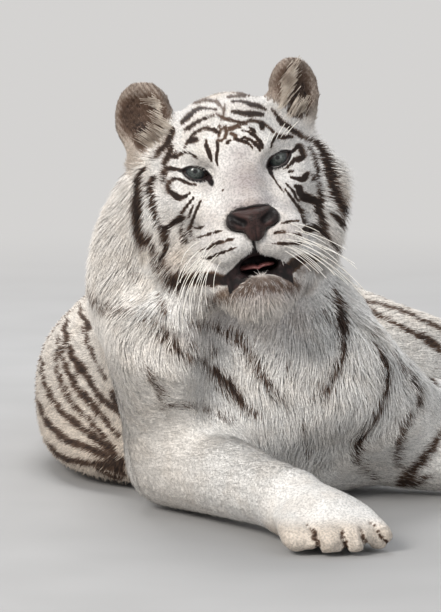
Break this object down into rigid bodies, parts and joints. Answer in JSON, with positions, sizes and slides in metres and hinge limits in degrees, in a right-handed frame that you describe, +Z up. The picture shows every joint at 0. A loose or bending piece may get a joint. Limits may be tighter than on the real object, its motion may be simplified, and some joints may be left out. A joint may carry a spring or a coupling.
{
  "type": "white tiger",
  "caption": "Life-size adult white tiger lying at rest: chest down, one forearm in front, hips rolled to one side, head raised, tail laid behind.",
  "frame": {"origin": "on the floor, under the centre of the bounding box", "axes": "+Z up, the animal looks along -Y with its tail towards +Y, +X to the animal's left"},
  "size_m": [1.1422, 1.965, 0.6739],
  "materials": {
    "coat": "fur, matte",
    "ear": "short fur, matte",
    "nose": "moist skin, satin",
    "tongue": "moist, satin",
    "eye": "wet, glossy"
  },
  "bodies": {
    "root": {"head": "coat", "muzzle": "coat", "jaw": "coat", "nose": "nose", "tongue": "tongue", "eye_left": "eye", "eye_right": "eye", "ear_left": "ear", "ear_right": "ear", "neck": "coat", "chest": "coat", "ribs": "coat", "belly": "coat", "hips": "coat", "foreleg_right_upper": "coat", "foreleg_right_lower": "coat", "forepaw_right": "coat", "foreleg_left_upper": "coat", "foreleg_left_lower": "coat", "forepaw_left": "coat", "thigh_right": "coat", "shank_right": "coat", "hindpaw_right": "coat", "thigh_left": "coat", "shank_left": "coat", "hindpaw_left": "coat", "tail_base": "coat", "tail_middle": "coat", "tail_tip": "coat"}
  },
  "joints": []
}
